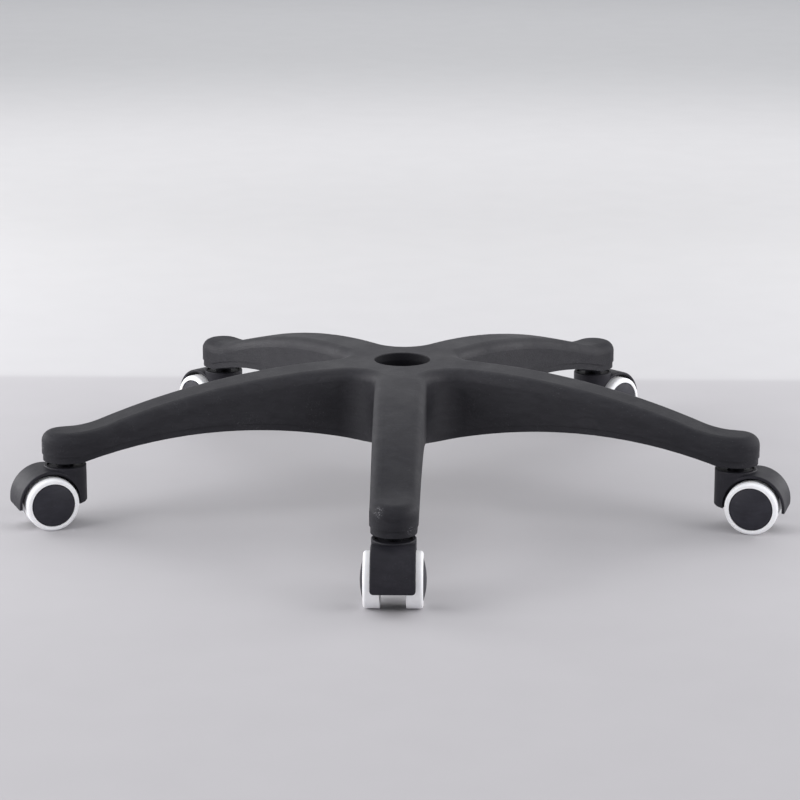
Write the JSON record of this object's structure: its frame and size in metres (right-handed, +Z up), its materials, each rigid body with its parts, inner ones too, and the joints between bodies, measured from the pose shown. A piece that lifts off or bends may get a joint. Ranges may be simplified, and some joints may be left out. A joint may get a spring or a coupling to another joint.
{
  "type": "office chair five star base",
  "caption": "Star base for an office chair: arched ribbed nylon arms round a hub with a bore for the gas column, on hooded twin-wheel swivel casters.",
  "frame": {"origin": "on the axis of the hub's bore, where the cone that leads in ends and the straight land begins, 7 mm under the hub's top; the floor is 127.3 mm below it", "axes": "+Z up along the bore, -Y along the arm that points at the viewer in the picture, +X to the viewer's right"},
  "size_m": [0.7326, 0.6944, 0.1343],
  "materials": {
    "star_nylon": "fine matt grain, glass-filled nylon",
    "plated_steel": "bright zinc plate",
    "hood_nylon": "satin moulded nylon",
    "core_nylon": "satin moulded nylon",
    "white_polyurethane": "matt moulded polyurethane",
    "cap_nylon": "satin moulded nylon"
  },
  "bodies": {
    "base": {"star_base": "star_nylon", "hub_ring": "plated_steel", "stem_front": "plated_steel", "grip_ring_front": "plated_steel", "stem_right": "plated_steel", "grip_ring_right": "plated_steel", "stem_back_right": "plated_steel", "grip_ring_back_right": "plated_steel", "stem_back_left": "plated_steel", "grip_ring_back_left": "plated_steel", "stem_left": "plated_steel", "grip_ring_left": "plated_steel"},
    "swivel_front": {"hood_front": "hood_nylon", "axle_front": "plated_steel"},
    "wheel_front_a": {"core_front_a": "core_nylon", "tyre_front_a": "white_polyurethane", "cap_front_a": "cap_nylon"},
    "wheel_front_b": {"core_front_b": "core_nylon", "tyre_front_b": "white_polyurethane", "cap_front_b": "cap_nylon"},
    "swivel_right": {"hood_right": "hood_nylon", "axle_right": "plated_steel"},
    "wheel_right_a": {"core_right_a": "core_nylon", "tyre_right_a": "white_polyurethane", "cap_right_a": "cap_nylon"},
    "wheel_right_b": {"core_right_b": "core_nylon", "tyre_right_b": "white_polyurethane", "cap_right_b": "cap_nylon"},
    "swivel_back_right": {"hood_back_right": "hood_nylon", "axle_back_right": "plated_steel"},
    "wheel_back_right_a": {"core_back_right_a": "core_nylon", "tyre_back_right_a": "white_polyurethane", "cap_back_right_a": "cap_nylon"},
    "wheel_back_right_b": {"core_back_right_b": "core_nylon", "tyre_back_right_b": "white_polyurethane", "cap_back_right_b": "cap_nylon"},
    "swivel_back_left": {"hood_back_left": "hood_nylon", "axle_back_left": "plated_steel"},
    "wheel_back_left_a": {"core_back_left_a": "core_nylon", "tyre_back_left_a": "white_polyurethane", "cap_back_left_a": "cap_nylon"},
    "wheel_back_left_b": {"core_back_left_b": "core_nylon", "tyre_back_left_b": "white_polyurethane", "cap_back_left_b": "cap_nylon"},
    "swivel_left": {"hood_left": "hood_nylon", "axle_left": "plated_steel"},
    "wheel_left_a": {"core_left_a": "core_nylon", "tyre_left_a": "white_polyurethane", "cap_left_a": "cap_nylon"},
    "wheel_left_b": {"core_left_b": "core_nylon", "tyre_left_b": "white_polyurethane", "cap_left_b": "cap_nylon"}
  },
  "joints": [
    {"name": "swivel_front", "type": "hinge", "parent": "base", "child": "swivel_front", "pos_m": [0, -0.33, -0.0703], "axis": [0, 0, 1], "continuous": true},
    {"name": "roll_front_a", "type": "hinge", "parent": "swivel_front", "child": "wheel_front_a", "pos_m": [0, -0.3486, -0.1023], "axis": [1, 0, 0], "continuous": true},
    {"name": "roll_front_b", "type": "hinge", "parent": "swivel_front", "child": "wheel_front_b", "pos_m": [0, -0.3486, -0.1023], "axis": [1, 0, 0], "continuous": true},
    {"name": "swivel_right", "type": "hinge", "parent": "base", "child": "swivel_right", "pos_m": [0.31385, -0.10198, -0.0703], "axis": [0, 0, 1], "continuous": true},
    {"name": "roll_right_a", "type": "hinge", "parent": "swivel_right", "child": "wheel_right_a", "pos_m": [0.3319, -0.10648, -0.1023], "axis": [0.2419, 0.9703, 0], "continuous": true},
    {"name": "roll_right_b", "type": "hinge", "parent": "swivel_right", "child": "wheel_right_b", "pos_m": [0.3319, -0.10648, -0.1023], "axis": [0.2419, 0.9703, 0], "continuous": true},
    {"name": "swivel_back_right", "type": "hinge", "parent": "base", "child": "swivel_back_right", "pos_m": [0.19397, 0.26698, -0.0703], "axis": [0, 0, 1], "continuous": true},
    {"name": "roll_back_right_a", "type": "hinge", "parent": "swivel_back_right", "child": "wheel_back_right_a", "pos_m": [0.20712, 0.28013, -0.1023], "axis": [-0.7071, 0.7071, 0], "continuous": true},
    {"name": "roll_back_right_b", "type": "hinge", "parent": "swivel_back_right", "child": "wheel_back_right_b", "pos_m": [0.20712, 0.28013, -0.1023], "axis": [-0.7071, 0.7071, 0], "continuous": true},
    {"name": "swivel_back_left", "type": "hinge", "parent": "base", "child": "swivel_back_left", "pos_m": [-0.19397, 0.26698, -0.0703], "axis": [0, 0, 1], "continuous": true},
    {"name": "roll_back_left_a", "type": "hinge", "parent": "swivel_back_left", "child": "wheel_back_left_a", "pos_m": [-0.20712, 0.28013, -0.1023], "axis": [-0.7071, -0.7071, 0], "continuous": true},
    {"name": "roll_back_left_b", "type": "hinge", "parent": "swivel_back_left", "child": "wheel_back_left_b", "pos_m": [-0.20712, 0.28013, -0.1023], "axis": [-0.7071, -0.7071, 0], "continuous": true},
    {"name": "swivel_left", "type": "hinge", "parent": "base", "child": "swivel_left", "pos_m": [-0.31385, -0.10198, -0.0703], "axis": [0, 0, 1], "continuous": true},
    {"name": "roll_left_a", "type": "hinge", "parent": "swivel_left", "child": "wheel_left_a", "pos_m": [-0.33109, -0.10894, -0.1023], "axis": [0.3746, -0.9272, 0], "continuous": true},
    {"name": "roll_left_b", "type": "hinge", "parent": "swivel_left", "child": "wheel_left_b", "pos_m": [-0.33109, -0.10894, -0.1023], "axis": [0.3746, -0.9272, 0], "continuous": true}
  ]
}
